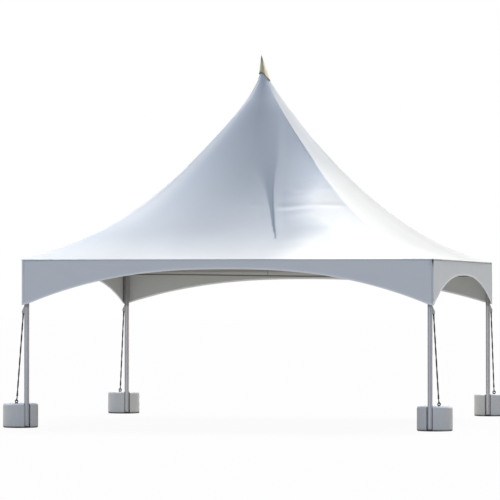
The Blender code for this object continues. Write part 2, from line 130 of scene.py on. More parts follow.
class Nodes:
    """Adds and links shader nodes in the tree of one material or world."""

    def __init__(self, owner, coordinates="Object"):
        self.owner = owner
        owner.use_nodes = True
        self.tree = owner.node_tree
        self.place = self.add("TexCoord").outputs[coordinates]

    def put(self, target, value):
        if isinstance(value, bpy.types.NodeSocket):
            self.tree.links.new(value, target)
        else:
            target.default_value = rgba(value) if target.type == "RGBA" else value

    def add(self, kind, inputs=None, **settings):
        """A new node; its inputs are values or other nodes' sockets."""
        node = self.tree.nodes.new("ShaderNode" + kind)
        for key, value in settings.items():
            setattr(node, key, value)
        for key, value in (inputs or {}).items():
            self.put(node.inputs[key], value)
        return node

    def axis(self, name):
        return self.add("SeparateXYZ", {0: self.place}).outputs[name]

    def noise(self, scale, detail=4.0, roughness=0.55, stretch=None):
        place = self.place
        if stretch:
            place = self.add("Mapping", {"Vector": place, "Scale": stretch}).outputs[0]
        inputs = {"Vector": place, "Scale": scale, "Detail": detail, "Roughness": roughness}
        return self.add("TexNoise", inputs).outputs["Fac"]

    def wave(self, direction, scale):
        inputs = {"Vector": self.place, "Scale": scale}
        return self.add("TexWave", inputs, bands_direction=direction).outputs["Fac"]

    def math(self, operation, first, second=0.0):
        return self.add("Math", {0: first, 1: second}, operation=operation).outputs[0]

    def ramp(self, value, dark, light, ends=(0.3, 0.7)):
        node = self.add("ValToRGB", {0: value})
        node.color_ramp.interpolation = "B_SPLINE"
        for element, position, colour in zip(node.color_ramp.elements, ends, (dark, light)):
            element.position = position
            element.color = rgba(colour)
        return node.outputs["Color"]

    def span(self, value, low, high, to_low=0.0, to_high=1.0):
        ends = {"From Min": low, "From Max": high, "To Min": to_low, "To Max": to_high}
        return self.add("MapRange", {"Value": value, **ends}).outputs["Result"]

    def mix(self, share, first, second, blend="MIX"):
        inputs = {"Factor": share, 6: first, 7: second}
        return self.add("Mix", inputs, data_type="RGBA", blend_type=blend).outputs[2]

    def mark(self, name):
        return self.add("Attribute", attribute_name=name).outputs["Fac"]

    def marked(self, colour, **marks):
        """The colour, with another one wherever the mesh has that mark."""
        for name, other in marks.items():
            colour = self.mix(self.mark(name), colour, other)
        return colour

    def camera_ray(self):
        return self.add("LightPath").outputs["Is Camera Ray"]

    def bump(self, height, distance, strength, normal=None):
        inputs = {"Height": height, "Distance": distance, "Strength": strength}
        if normal is not None:
            inputs["Normal"] = normal
        return self.add("Bump", inputs).outputs["Normal"]

    def shaders(self, kind, *inputs):
        return self.add(kind, dict(enumerate(inputs))).outputs[0]

    def show(self, output, shader):
        self.put(self.tree.nodes[output].inputs["Surface"], shader)

    def surface(self, colour, roughness, **others):
        shader = self.tree.nodes["Principled BSDF"]
        for key, value in {"Base_Color": colour, "Roughness": roughness, **others}.items():
            self.put(shader.inputs[key.replace("_", " ")], value)
        return self.owner


def new_material(name):
    return Nodes(bpy.data.materials.new(name))


# The valances' sewn pocket shows inside as a painted shadow line along its lower edge. It sinks
# from the left end towards the middle
POCKET_Z = 2.288
POCKET_LINE = 0.013
POCKET_EDGE = 0.004
POCKET_SINK = 0.033
POCKET_SINK_FROM = -2.3

CREASE_DEPTH = 0.004
THREAD_SCALE = 260.0


def woven(n, normal, depth=0.00015, strength=0.4):
    """Two crossed sets of fine threads, 1.2 mm apart, over the larger creases."""
    threads = n.math("ADD", n.wave("X", THREAD_SCALE), n.wave("Z", THREAD_SCALE))
    return n.bump(threads, depth, strength, normal)


def coated_surface(n, base, creases, smoothest, dullest):
    normal = woven(n, n.bump(creases, CREASE_DEPTH, 0.5))
    rough = n.span(n.noise(6.0), 0.3, 0.7, smoothest, dullest)
    return n.surface(base, rough, Normal=normal, Sheen_Weight=0.08, Specular_IOR_Level=0.3)


def canopy_material():
    """Coated membrane with faint streaks. The sheet's own marks give its painted light and shade, a
    painted warm tint where it is lit, the pleat's shade and the seams.
    """
    n = new_material("canopy_membrane")
    drift = n.noise(1.4, detail=3.0, stretch=(0.8, 0.8, 0.5))
    base = n.ramp(drift, (0.752, 0.783, 0.81), (0.788, 0.812, 0.835))
    streaks = n.noise(1.0, detail=5.0, stretch=(9, 9, 0.6))
    base = n.mix(n.span(streaks, 0.3, 0.75, 0.0, 0.06), base, (0.64, 0.66, 0.70))
    # Painted light and shade: a warm tint where the sheet is lit, and each gore darker or brighter
    # as the light falls on it
    base = n.mix(1.0, n.marked(base, clean=(0.815, 0.795, 0.745)), n.mark("tone"), "MULTIPLY")
    base = n.marked(base, shade=(0.21, 0.27, 0.32), seam=(0.90, 0.905, 0.91))
    creases = n.noise(3.0, detail=2.0)
    return coated_surface(n, base, creases, 0.48, 0.62)


def valance_material():
    """The same membrane hanging upright: greyer, and greyest at its top edge, with faint folds."""
    n = new_material("valance_membrane")
    mottled = n.noise(2.2, stretch=(1.0, 1.0, 2.0))
    base = n.ramp(mottled, (0.715, 0.73, 0.73), (0.75, 0.765, 0.765), ends=(0.25, 0.75))
    height = n.span(n.axis("Z"), TIP_Z, EAVE_Z)
    base = n.mix(n.span(height, 0.90, 1.0, 0.0, 0.15), base, (0.60, 0.61, 0.62))
    base = n.marked(base, shade=(0.30, 0.32, 0.35), seam=(0.90, 0.91, 0.92))
    creases = n.noise(2.4, detail=2.0, stretch=(2.0, 2.0, 0.7))
    return coated_surface(n, base, creases, 0.44, 0.58)


def inside_material():
    """The membrane's uncoated inner face: darker as painted shade, duller, in shade on the left,
    its weave showing.
    """
    n = new_material("membrane_inside")
    mottled = n.noise(1.8, stretch=(1.0, 1.0, 1.5))
    base = n.ramp(mottled, (0.495, 0.507, 0.50), (0.553, 0.566, 0.56), ends=(0.25, 0.75))
    across = n.axis("X")
    left_end = CENTRE.x - HALF
    in_shade = n.span(across, left_end + 0.10, left_end + 0.05, 0.0, 0.40)
    base = n.mix(in_shade, base, (0.30, 0.31, 0.305))
    sunk = n.span(across, POCKET_SINK_FROM, 0.0, 0.0, POCKET_SINK)
    level = n.math("ADD", n.axis("Z"), sunk)
    above_line = n.span(level, POCKET_Z - POCKET_EDGE, POCKET_Z + POCKET_EDGE)
    base = n.mix(above_line, base, (0.60, 0.61, 0.60))
    # A painted shadow line along the pocket's lower edge
    off_line = n.math("ABSOLUTE", n.math("SUBTRACT", level, POCKET_Z))
    stitched = n.span(off_line, POCKET_LINE * 0.5, POCKET_LINE, 0.85, 0.0)
    base = n.mix(stitched, base, (0.06, 0.06, 0.055))
    base = n.mix(n.math("MULTIPLY", n.mark("seam"), 0.5), base, (0.70, 0.70, 0.68))
    creases = n.bump(n.noise(2.6, detail=2.0), CREASE_DEPTH, 0.5)
    normal = woven(n, creases, depth=0.0003, strength=0.6)
    return n.surface(base, 0.7, Normal=normal, Sheen_Weight=0.05)


def binding_material():
    n = new_material("edge_binding")
    ribs = n.bump(n.wave("DIAGONAL", 90.0), 0.0004, 0.4)
    base = n.ramp(n.noise(5.0), grey(0.86), grey(0.92))
    return n.surface(base, 0.6, Normal=ribs, Sheen_Weight=0.1)


GROOVE_COLOUR = (0.13, 0.135, 0.14)
LINES_ALONG = 0.15
LINES_ACROSS = 30

# How far below the valances' tips the uprights' soft shade begins, and its dark line
LEG_SHADE = 0.40
LEG_LINE = 0.055
LEG_SHADE_END = 0.01


def aluminium_material(name, direction, tint):
    """Mill-finish extrusion: fine lines along its length, and dull patches.

    Uprights have painted shade in their grooves and on their lug too. They darken with painted
    shade towards the valances' tips, and stay as dark above.
    """
    n = new_material(name)
    stretch = tuple(LINES_ALONG if axis == direction else LINES_ACROSS for axis in "XYZ")
    lines = n.noise(6.0, detail=6.0, roughness=0.7, stretch=stretch)
    patches = n.noise(1.6, detail=3.0, stretch=(3, 3, 1.2))
    base = n.ramp(lines, grey(tint * 0.88, -0.06), grey(tint * 1.1, -0.06))
    base = n.mix(n.span(patches, 0.35, 0.7, 0.0, 0.35), base, grey(tint * 0.82, -0.03))
    if direction == "Z":
        # Painted shade in the grooves and on the lug
        base = n.marked(base, groove=GROOVE_COLOUR)
        height = n.axis("Z")
        under_tip = n.span(height, TIP_Z - LEG_SHADE, TIP_Z - LEG_SHADE_END, 0.0, 0.14)
        line = n.span(height, TIP_Z - LEG_LINE, TIP_Z - LEG_SHADE_END, 0.0, 0.60)
        base = n.mix(n.math("MAXIMUM", under_tip, line), base, GROOVE_COLOUR)
    rough = n.span(lines, 0.2, 0.8, 0.42, 0.60)
    return n.surface(base, rough, Normal=n.bump(lines, 0.0006, 0.5), Metallic=0.25)


DAMP_HEIGHT = (0.014, 0.032)


def concrete_material():
    """Smooth cast concrete: pale cement film, small pores, painted light on the upper rim, painted
    shade in the slot and a painted contact shadow at the ground.
    """
    n = new_material("cast_concrete")
    broad = n.noise(3.5, detail=5.0, roughness=0.6)
    grain = n.noise(60.0, detail=6.0, roughness=0.7)
    base = n.ramp(broad, (0.675, 0.668, 0.64), (0.75, 0.742, 0.71), ends=(0.25, 0.75))
    base = n.mix(n.span(grain, 0.35, 0.75, 0.0, 0.25), base, (0.79, 0.78, 0.755))
    # Painted light on the upper rim
    base = n.marked(base, worn=(0.95, 0.945, 0.93))
    pores = n.add("TexVoronoi", {"Vector": n.place, "Scale": 55.0})
    pits = n.span(pores.outputs["Distance"], 0.05, 0.16, 1.0, 0.0)
    chosen = n.span(n.noise(20.0, detail=2.0), 0.56, 0.62)
    pits = n.math("MULTIPLY", pits, chosen)
    base = n.mix(n.math("MULTIPLY", pits, 0.6), base, grey(0.20))
    # A painted contact shadow along the ground
    damp = n.span(n.axis("Z"), *DAMP_HEIGHT, 1.0, 0.0)
    damp = n.math("MULTIPLY", damp, n.span(n.noise(9.0), 0.35, 0.6, 0.75, 1.0))
    # Painted shade in the slot
    base = n.marked(n.mix(damp, base, grey(0.06)), slot=grey(0.07))
    height = n.math("SUBTRACT", grain, n.math("MULTIPLY", pits, 3.0))
    dust = {"Sheen_Weight": 0.35, "Sheen_Roughness": 0.3, "Specular_IOR_Level": 0.3}
    return n.surface(base, 0.82, Normal=n.bump(height, 0.0012, 0.6), **dust)


def webbing_material():
    """Dark polyester webbing with ribs across it and paler, worn patches."""
    n = new_material("tie_webbing")
    ribs = n.wave("Z", 170.0)
    base = n.ramp(ribs, (0.035, 0.035, 0.036), (0.07, 0.07, 0.071), ends=(0.2, 0.8))
    worn = n.span(n.noise(14.0, detail=3.0), 0.56, 0.72, 0.0, 0.25)
    base = n.mix(worn, base, grey(0.16))
    return n.surface(base, 0.85, Normal=n.bump(ribs, 0.0006, 0.7), Sheen_Weight=0.1)


def black_steel_material():
    n = new_material("black_steel")
    grain = n.noise(180.0, roughness=0.7)
    base = n.ramp(grain, grey(0.025), grey(0.06))
    rough = n.span(grain, 0.2, 0.8, 0.45, 0.67)
    return n.surface(base, rough, Normal=n.bump(grain, 0.0004, 0.4), Metallic=0.1)


def rope_material():
    """Galvanised wire rope, its strands as slanting ridges."""
    n = new_material("wire_rope")
    strands = n.wave("DIAGONAL", 120.0)
    base = n.ramp(strands, grey(0.16), (0.50, 0.51, 0.52), ends=(0.1, 0.8))
    return n.surface(base, 0.45, Normal=n.bump(strands, 0.0012, 0.8), Metallic=0.7)


def gold_material():
    """Folded gold-coloured sheet: dull olive rim, darkened tip, a brown line on its lap seam with
    painted shade beside it, and a painted highlight on its right side.
    """
    n = new_material("gold_finial")
    lines = n.noise(1.0, stretch=(60, 60, 6))
    # Above 1, so that the lit side shows as pale as in the photograph's light
    base = n.ramp(lines, (1.10, 0.90, 0.58), (1.25, 1.02, 0.66))
    base = n.marked(base, bright=(2.0, 1.60, 1.02), lap=(0.36, 0.20, 0.11))
    base = n.marked(base, rim=(0.085, 0.080, 0.030), tip=(0.10, 0.075, 0.05))
    rough = n.span(n.noise(40.0), 0.3, 0.7, 0.34, 0.52)
    return n.surface(base, rough, Normal=n.bump(lines, 0.0005, 0.4), Metallic=0.2)


def floor_material():
    """A pale studio floor: it shows nearly white, and throws a softer light back up."""
    n = new_material("pale_floor")
    uneven = n.noise(0.8, detail=3.0)
    n.surface(n.ramp(uneven, grey(FLOOR_BOUNCE * 0.97), grey(FLOOR_BOUNCE)), 0.9)
    plain = n.tree.nodes["Principled BSDF"].outputs[0]
    seen = n.camera_ray()
    strength = n.math("MULTIPLY", n.math("SUBTRACT", 1.0, seen), FLOOR_LIGHT_STRENGTH)
    upward = n.add("Emission", {"Color": FLOOR_LIGHT, "Strength": strength}).outputs[0]
    glow = n.add("Emission", {"Strength": FLOOR_GLOW_STRENGTH}).outputs[0]
    share = n.math("MULTIPLY", seen, FLOOR_GLOW)
    lit = n.shaders("AddShader", plain, upward)
    n.show("Material Output", n.shaders("MixShader", share, lit, glow))
    return n.owner


def new_object(name, data):
    obj = bpy.data.objects.new(name, data)
    bpy.context.scene.collection.objects.link(obj)
    return obj


def link(name, mesh, material, smooth=None):
    mesh.name = name
    mesh.materials.append(material)
    if smooth is not None:
        mesh.shade_smooth()
        mesh.set_sharp_from_angle(angle=math.radians(smooth))
    return new_object(name, mesh)


def stand_in(node, name, mesh, material, smooth=None):
    """A piece that takes the CAD node's place."""
    obj = link(name, mesh, material, smooth)
    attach(obj, "root")
    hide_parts(node)
    return obj


@contextmanager
def edited(mesh):
    """The mesh as a bmesh; what is done to it goes back into the mesh."""
    bm = bmesh.new()
    bm.from_mesh(mesh)
    yield bm
    bm.to_mesh(mesh)
    bm.free()


def node_mesh(node):
    """A copy of a CAD node's mesh in the frame's own metres, with its corners joined up."""
    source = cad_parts[node]
    bm = bmesh.new()
    bm.from_mesh(source.data)
    bm.transform(source.matrix_world)
    bmesh.ops.remove_doubles(bm, verts=bm.verts[:], dist=2e-5)
    positions = [vert.co.to_tuple() for vert in bm.verts]
    bm.verts.index_update()
    faces = [[vert.index for vert in face.verts] for face in bm.faces]
    bm.free()
    mesh = bpy.data.meshes.new(node)
    mesh.from_pydata(positions, [], faces)
    return mesh


def smooth_node(node, material, angle, swell=0.0):
    """The node's own shape again, its round faces shaded smooth, and swollen a little."""
    mesh = node_mesh(node)
    stand_in(node, f"{node}_smooth", mesh, material, smooth=angle)
    normals = [vert.normal.copy() for vert in mesh.vertices]
    for vert, normal in zip(mesh.vertices, normals):
        vert.co += normal * swell


def thicken(obj, thickness, offset=-1.0, inside=None):
    """Makes a shell of a sheet; its inner face may have a material of its own."""
    solid = obj.modifiers.new("thickness", "SOLIDIFY")
    solid.thickness = thickness
    solid.offset = offset
    if inside:
        obj.data.materials.append(inside)
        solid.material_offset = 1


def grid_mesh(points, wrap=False):
    """Quads over rows x columns of points; wrap joins the last column to the first."""
    rows, columns = points.shape[:2]
    index = np.arange(rows * columns).reshape(rows, columns)
    if wrap:
        index = np.concatenate([index, index[:, :1]], axis=1)
    quads = np.stack([index[:-1, :-1], index[1:, :-1], index[1:, 1:], index[:-1, 1:]], axis=-1)
    mesh = bpy.data.meshes.new("grid")
    mesh.from_pydata(points.reshape(-1, 3).tolist(), [], quads.reshape(-1, 4).tolist())
    return mesh


def cap_rings(mesh, columns, rings):
    """Close the named rings of a tube that grid_mesh made."""
    with edited(mesh) as bm:
        bm.verts.ensure_lookup_table()
        for ring in rings:
            bm.faces.new([bm.verts[ring * columns + column] for column in range(columns)])
        bmesh.ops.recalc_face_normals(bm, faces=bm.faces[:])


def add_attribute(mesh, name, values):
    layer = mesh.attributes.new(name, "FLOAT", "POINT")
    layer.data.foreach_set("value", np.ascontiguousarray(values, np.float32).ravel())


def ease(values, low, high):
    """0 up to low, 1 from high on, and a smooth rise between them."""
    share = np.clip((values - low) / (high - low), 0, 1)
    return share * share * (3 - 2 * share)


def window(values, low, full, last, past):
    """1 from full to last, and a smooth fall to 0 at low and at past."""
    return ease(values, low, full) * (1 - ease(values, last, past))


def bell(values, middle, width):
    return np.exp(-(((values - middle) / width) ** 2))


def noise_3d(points, scale, seed):
    """A few crossed sine waves, as a cheap smooth noise between -1 and 1."""
    waves = 6
    rng = np.random.default_rng(seed)
    total = 0.0
    for _count in range(waves):
        direction = rng.normal(size=3)
        direction /= np.linalg.norm(direction)
        total += np.sin(points @ direction * scale * rng.uniform(0.7, 1.5) + rng.uniform(0, 6.28))
    return total / waves


def canopy_z(reach):
    """The canopy's height where reach is 0 at the peak and 1 at the eave."""
    inward = 1 - reach
    return EAVE_Z + PEAK_RISE * (STRAIGHT_SHARE * inward + (1 - STRAIGHT_SHARE) * inward**SWEEP)


def canopy_slope(reach):
    inward = 1 - reach
    swept = (1 - STRAIGHT_SHARE) * SWEEP * inward ** (SWEEP - 1)
    return PEAK_RISE * (STRAIGHT_SHARE + swept) / HIP_REACH


def rise_share(reach):
    return (1 - reach) / (1 - COLLAR_REACH)


def roundness(reach):
    """0 at the eave, where the canopy is square, and 1 at the peak, where it is round."""
    rise = rise_share(reach)
    return MID_ROUNDNESS * rise**1.2 + (1 - MID_ROUNDNESS) * rise**PEAK_ROUNDNESS_POWER


# The dark pleat in the front gore. Each row: height above the eave, the place of its soft left
# edge and of its crest across the gore, how dark it is, and how far its left edge fades in
PLEAT = (
    (0.285, 0.616, 0.624, 1.00, 0.20),
    (0.33, 0.594, 0.618, 0.95, 0.20),
    (0.51, 0.504, 0.552, 0.82, 0.25),
    (0.81, 0.384, 0.466, 0.66, 0.35),
    (1.05, 0.270, 0.416, 0.50, 0.45),
    (1.29, 0.100, 0.392, 0.38, 0.70),
    (1.48, -0.050, 0.396, 0.28, 0.90),
    (1.98, -0.160, 0.330, 0.16, 1.00),
    (2.40, -0.200, 0.280, 0.04, 1.00),
)
PLEAT_RISE = 0.010
PLEAT_RETURN = 0.15
PLEAT_EDGE = 0.014
PLEAT_EDGE_HIGH = 0.060
PLEAT_LINE = 0.20

# Cross folds right and left of the pleat: height above the eave, half width, from, to and depth
FRONT_FOLDS = (
    (0.790, 0.034, 0.52, 1.62, 0.0065),
    (1.055, 0.045, 0.72, 1.42, 0.0035),
    (0.820, 0.030, 0.10, 0.37, 0.0020),
)
FOLD_TONE = 0.09

# The slack right of the pleat: how far it stands out, its middle and reach towards peak and eave
SLACK_RISE = 0.046
SLACK_REACH = (0.34, 0.72, 0.995)

# Small unevenness all over: the hips' seams, broad sags, and short folds drawn in at the corners
SEAM_WIDTH = 0.035
SEAM_RISE = 0.002
SAG_RISE = 0.008
DRAWN_RISE = 0.0025

# The canopy's painted light and shade, as shares of the membrane's colour
BASE_TONE = 0.885
FRONT_TONE = -0.078
RIGHT_TONE = 0.08
RIGHT_MIDDLE_TONE = 0.10
BACK_TONE = -0.16
LEFT_TONE = -0.08
LIT_TONE = 0.43
PEAK_TONE = 0.11
MOST_TONE = 1.22

# The sleeve at the peak, up into the finial: radius, height above the panels' top edge, and how
# much lower it is on the right than in the middle
NECK = (
    (0.056, 0.180, 0.000),
    (0.060, 0.168, 0.000),
    (0.064, 0.155, 0.004),
    (0.0725, 0.124, 0.010),
    (0.0815, 0.096, 0.016),
    (0.0885, 0.078, 0.020),
)
NECK_SHIFT = 0.006
NECK_PUCKER = 0.02

# The canopy's fuller shoulder just below the sleeve
SHOULDER_RISE = 0.066
SHOULDER_TILT = 0.020
SHOULDER_REACH = 0.19

CANOPY_ROWS = 168
CANOPY_THICKNESS = 0.0015
EDGE_ROLL = 0.006
EDGE_ROLL_STEPS = 7


def pleat(across, height):
    """The pleat's outward rise and its shade over the front gore."""
    levels, *columns = zip(*PLEAT)
    edge, crest, dark, fade = (np.interp(height, levels, column) for column in columns)
    begun = height > levels[0]
    share = (across - edge) / (crest - edge)
    soft = np.interp(height, (1.1, 1.9), (PLEAT_EDGE, PLEAT_EDGE_HIGH))
    cover = ease(share, 0, fade) * (1 - ease(across, crest - soft, crest + soft))
    line = PLEAT_LINE * bell(across, crest - 0.012, 0.014) * (1 - ease(height, 0.9, 1.5))
    ramp = np.clip(share, 0, 1) * (across <= crest)
    fall = np.clip(1 - (across - crest) / PLEAT_RETURN, 0, 1) * (across > crest)
    inside = window(height, 0.28, 0.55, 1.5, 2.3)
    rise = PLEAT_RISE * inside * (ramp**1.3 + ease(fall, 0, 1))
    return rise, np.clip(dark * begun * cover + line * begun, 0, 1)


def canopy_angles():
    """Angles round the canopy, close together at the hips and along the front pleat."""
    ends = (-HALF_GORE, -0.70, 0.0, 0.20, 0.42, 0.52, 0.70, HALF_GORE)
    front = zip(ends, ends[1:], (6, 22, 16, 40, 10, 8, 6))
    angles = [np.linspace(low, high, count, endpoint=False) for low, high, count in front]
    even = np.linspace(-1, 1, 40, endpoint=False)
    gore = HALF_GORE * (1.4 * even - 0.4 * even**3)
    angles.extend(gore + turn * GORE for turn in (1, 2, 3))
    return np.concatenate(angles)


def canopy_places():
    """Where the canopy's points lie, before any fold or shoulder."""
    share = np.arange(CANOPY_ROWS + 1) / CANOPY_ROWS
    reach = COLLAR_REACH + (1 - COLLAR_REACH) * share**1.1
    reach, angle = np.meshgrid(reach, canopy_angles(), indexing="ij")
    local = (angle + HALF_GORE) % GORE - HALF_GORE
    flat = math.cos(HALF_GORE) / np.cos(local)
    blend = roundness(reach)
    radius = HIP_REACH * reach * ((1 - blend) * flat + blend)
    return SimpleNamespace(
        reach=reach,
        angle=angle,
        local=local,
        to_hip=np.abs(local) / HALF_GORE,
        hip=bell(np.abs(local), HALF_GORE, SEAM_WIDTH / np.maximum(radius, 0.3)),
        radius=radius,
        across=radius * np.sin(local),
        above=canopy_z(reach) - EAVE_Z,
        front=(np.abs(angle) <= HALF_GORE).astype(float),
        right=(np.abs(angle - GORE) < HALF_GORE).astype(float),
    )


def slack(at):
    peak_end, middle, eave_end = SLACK_REACH
    along = window(at.reach, peak_end, middle, middle, eave_end)
    right = ease(at.across, 0.50, 1.05) * (1 - ease(at.to_hip, 0.68, 1.0))
    return SLACK_RISE * along * right * at.front


def unevenness(at):
    seams = at.hip * ease(at.reach, 0.03, 0.10)
    inner = window(at.reach, 0.05, 0.3, 0.93, 1.0)
    sags = inner * np.sin(at.local * 7 + 0.6) * np.sin(at.reach * 9)
    drawn = bell(at.reach, 0.86, 0.14) * np.cos(np.abs(at.across) * 26)
    drawn *= ease(np.abs(at.local), 0.45, 0.75)
    return SEAM_RISE * seams + SAG_RISE * sags + DRAWN_RISE * drawn


def cross_folds(at):
    """The cross folds' depth, and the painted light below and painted shade above each of them."""
    depth = tone = 0.0
    for level, width, low, high, deep in FRONT_FOLDS:
        share = window(at.across, low - 0.06, low + 0.06, high - 0.15, high)
        share *= at.front * (0.8 + 0.2 * np.sin(at.across * 11))
        wavy = level + 0.010 * np.sin(at.across * 5 + level)
        depth += deep * bell(at.above, wavy, width) * share
        # Painted light below each fold and painted shade above it
        light = bell(at.above, wavy - 0.040, 0.024) - 0.35 * bell(at.above, wavy + 0.045, 0.040)
        tone += FOLD_TONE * light * share * deep / FRONT_FOLDS[0][4]
    return depth, tone


def canopy_body(at, rise):
    """The four gores' points, moved out by rise."""
    shoulder = np.clip(1 - (at.radius - COLLAR_RADIUS) / SHOULDER_REACH, 0, 1)
    height = canopy_z(at.reach) + (SHOULDER_RISE - SHOULDER_TILT * np.sin(at.angle)) * shoulder**2
    slope = canopy_slope(at.reach)
    steepness = np.sqrt(1 + slope**2)
    radius = at.radius + rise * slope / steepness
    height = height + rise / steepness
    x = CENTRE.x + radius * np.sin(at.angle) - PEAK_LEAN * rise_share(at.reach)
    y = CENTRE.y - radius * np.cos(at.angle)
    return np.stack([x, y, height], axis=-1)


def sheet_noise(at, across_scale, above_scale, seed):
    points = np.stack([at.across * across_scale, at.above * above_scale, at.angle * 2], axis=-1)
    return noise_3d(points.reshape(-1, 3), 1.6, seed).reshape(at.across.shape)


def streaks_and_light(at):
    """Fine streaks right of the pleat, and a painted light patch where the fabric there lies flat.
    """
    streaks = sheet_noise(at, 1.2, 30, seed=9) * at.front * ease(at.across, 0.2, 0.7)
    streaks *= window(at.above, 0.10, 0.25, 1.0, 1.4)
    across = at.across + 0.13 * streaks
    level = 0.78 + 0.34 * np.clip(across - 0.5, 0, 1)
    shift = 0.29 * bell(at.above, 0.42, 0.21)
    begun = ease((across - shift - 0.48) / (0.87 - 0.10 * shift), 0, 1)
    return streaks, begun * (1 - ease(at.above, level - 0.15, level + 0.50)) * at.front


def gore_tone(at):
    """Each gore's painted light and shade: greyer in its middle high up and brighter along its
    hips.
    """
    middle_right = window(at.above, 0.15, 0.8, 1.1, 1.9)
    tone = BASE_TONE + FRONT_TONE * at.front
    tone += at.right * (RIGHT_TONE + RIGHT_MIDDLE_TONE * middle_right)
    tone -= 0.04 * at.right * ease(at.above, 1.2, 1.6)
    tone += BACK_TONE * ease(-np.cos(at.angle), -0.2, 0.75)
    tone += LEFT_TONE * ease(-np.sin(at.angle), 0.60, 0.95)
    high = ease(at.above, 1.2, 2.2)
    dimmed = high * (at.local > 0) * at.front
    tone += (0.29 - 0.17 * at.right) * (1 - dimmed) * at.to_hip ** (2.5 + 2.0 * high)
    tone += at.right * high * (0.22 - 0.36 * at.to_hip**1.3)
    return tone - 0.12 * ease(at.above, 0.6, 2.4) * (1 - at.to_hip)


def front_tone(at, left_rim):
    """What the front gore alone adds: painted light on its left hip and peak, and painted shade in
    four places.
    """
    eave_band = 0.045 * bell(at.above, 0.45, 0.20)
    middle_band = 0.05 * bell(at.above, 1.25, 0.5) * (1 - at.to_hip)
    high_right = 0.035 * bell(at.above, 1.75, 0.40) * ease(at.across, 0.3, 0.6)
    low_left = ease(-at.across, 1.0, 1.6) * (1 - ease(at.above, 0.30, 0.55))
    greyer = eave_band + middle_band + high_right + 0.07 * low_left * (1 - left_rim)
    return at.front * (PEAK_TONE * ease(at.above, 2.25, 2.70) - greyer) + 0.22 * left_rim


def canopy_marks(at, shade, fold_tone):
    """The values at each point from which the canopy's material takes its colour."""
    streaks, lit = streaks_and_light(at)
    # Painted light along the front gore's left hip
    left_rim = ease(at.to_hip, 0.78, 1.0) * (at.local < 0) * at.front
    left_rim *= ease(at.above, 0.25, 0.85)
    cloudy = sheet_noise(at, 1.6, 7, seed=5) * (1 - ease(at.above, 0.25, 0.7))
    tone = gore_tone(at) + front_tone(at, left_rim) + fold_tone
    tone += 0.035 * cloudy + LIT_TONE * lit + 0.025 * streaks
    # A painted warm tint where the sheet is lit: the lit patch, the right gore, the left hip and
    # low in front
    clean_right = 0.8 - 0.4 * ease(at.above, 1.0, 1.8)
    clean_low = 0.28 * (1 - ease(at.above, 0.10, 0.50)) * at.front
    clean = lit + clean_right * at.right + 0.7 * left_rim + clean_low
    return {
        "shade": shade,
        "seam": 0.06 * at.hip * ease(at.reach, 0.03, 0.1),
        "tone": np.minimum(tone, MOST_TONE),
        "clean": np.clip(clean, 0, 1),
    }


def neck_rows(angle):
    rows = []
    for radius, rise, tilt in NECK:
        puckered = radius * (1 + NECK_PUCKER * np.sin(angle * 12))
        lean = PEAK_LEAN * (1 + rise / PEAK_RISE) + NECK_SHIFT * ease(rise, 0.05, 0.10)
        x = CENTRE.x + puckered * np.sin(angle) - lean
        y = CENTRE.y - puckered * np.cos(angle)
        level = canopy_z(COLLAR_REACH) + rise - tilt * np.sin(angle)
        rows.append(np.stack([x, y, level], axis=-1))
    return np.array(rows)


def rolled_rows(edge):
    """The canopy's lower edge, turned over and under along the eave."""
    outward = np.zeros_like(edge)
    for axis, middle in enumerate(CENTRE.xy):
        from_middle = edge[:, axis] - middle
        outward[:, axis] = (np.abs(from_middle) > HALF - 1e-4) * np.sign(from_middle)
    rows = []
    for step in range(1, EDGE_ROLL_STEPS + 1):
        turn = step / EDGE_ROLL_STEPS * math.pi * 1.1
        ring = edge + outward * EDGE_ROLL * math.sin(turn)
        ring[:, 2] = edge[:, 2] - EDGE_ROLL * (1 - math.cos(turn))
        rows.append(ring)
    return np.array(rows)


def make_canopy(material, inside):
    """One sheet: the sleeve, four swept gores and the rolled eave edge."""
    at = canopy_places()
    pleat_rise, shade = pleat(at.across, at.above)
    fold_depth, fold_tone = cross_folds(at)
    body = canopy_body(at, pleat_rise * at.front + unevenness(at) + slack(at) - fold_depth)
    neck = neck_rows(at.angle[0])
    roll = rolled_rows(body[-1])
    points = np.concatenate([neck, body, roll])
    mesh = grid_mesh(points, wrap=True)
    for mark, values in canopy_marks(at, shade * at.front, fold_tone).items():
        add_attribute(mesh, mark, np.pad(values, ((len(neck), len(roll)), (0, 0)), mode="edge"))
    canopy = link("canopy", mesh, material, smooth=60)
    thicken(canopy, CANOPY_THICKNESS, inside=inside)
    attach(canopy, "root")
    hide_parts("peak_collar", *[f"roof_panel_{side}" for side in SIDES])


# The valance's scalloped edge. The solids' arches are 3.5 to 5 cm higher, except in front
ARCH_END_DROP = 0.645
APEX_DROP = {"front": 0.145, "right": 0.225, "back": 0.262, "left": 0.225}
ARCH_POWER = 2.4
TIP_WIDTH = 0.10

# Distances from a valance's end at which it has columns, closer together at its turned strip
END_COLUMNS = (0.0, 0.008, 0.015, 0.020, 0.024, 0.027, 0.030, 0.034, 0.040, 0.052, 0.070)
VALANCE_COLUMNS = 252
VALANCE_ROWS = 22
VALANCE_THICKNESS = 0.0016
VALANCE_SEED = 40
BOW = 0.0009
BOW_WAVES = 7

# At each end: a turned strip, and a notch that narrows down from the top edge
END_STRIP = 0.028
STRIP_STEP = 0.0012
NOTCH_WIDTH = 0.022
NOTCH_HEIGHT = 0.15
NOTCH_REACH = 0.12

# The tape along the lower edge
BINDING_HALF_DEPTH = 0.0022
BINDING_HEIGHT = 0.024
BINDING_STEPS = 8


def side_turn(index):
    return Matrix.Translation(CENTRE) @ Matrix.Rotation(index * GORE, 4, "Z")


